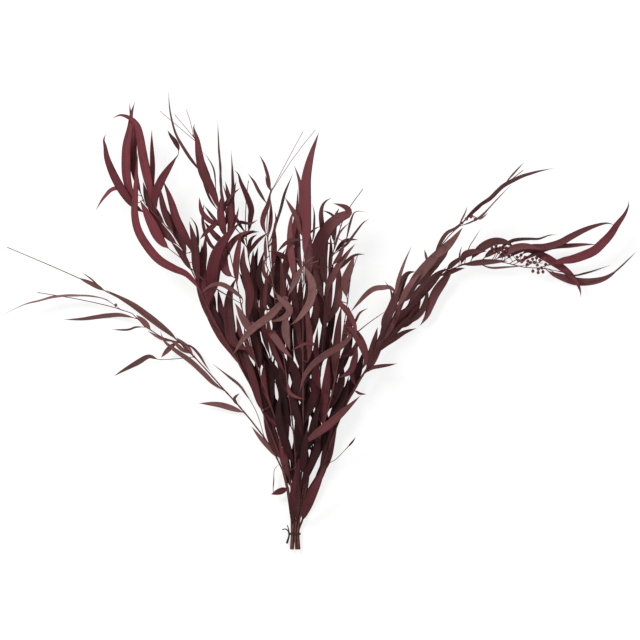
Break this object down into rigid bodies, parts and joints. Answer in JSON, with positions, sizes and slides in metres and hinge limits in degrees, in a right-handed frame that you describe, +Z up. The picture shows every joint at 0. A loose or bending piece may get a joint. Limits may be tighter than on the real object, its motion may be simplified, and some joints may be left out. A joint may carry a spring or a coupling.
{
  "type": "bunch of dried eucalyptus",
  "caption": "Bunch of dried long-leaved eucalyptus, dyed burgundy: leafy stems fan out from a dark twine tie, a few with small buds, lying on a surface.",
  "frame": {"origin": "underside of the twine tie, midway along its turns and midway across the stems, on the surface that the bunch lies on", "axes": "+Y along the bunch from the cut ends towards the leaf tips, +X across it, +Z up from the surface"},
  "size_m": [0.953, 0.6866, 0.1218],
  "materials": {
    "leaf": "dry and leathery, matt with a faint sheen",
    "twine": "matt twisted fibre"
  },
  "bodies": {
    "root": {"spray_centre": "leaf", "spray_tall_centre": "leaf", "spray_front_right": "leaf", "spray_inner_left": "leaf", "spray_tall_left": "leaf", "spray_inner_right": "leaf", "spray_upper_right": "leaf", "spray_centre_left": "leaf", "spray_budded_right": "leaf", "spray_low_left": "leaf", "tie": "twine"}
  },
  "joints": []
}
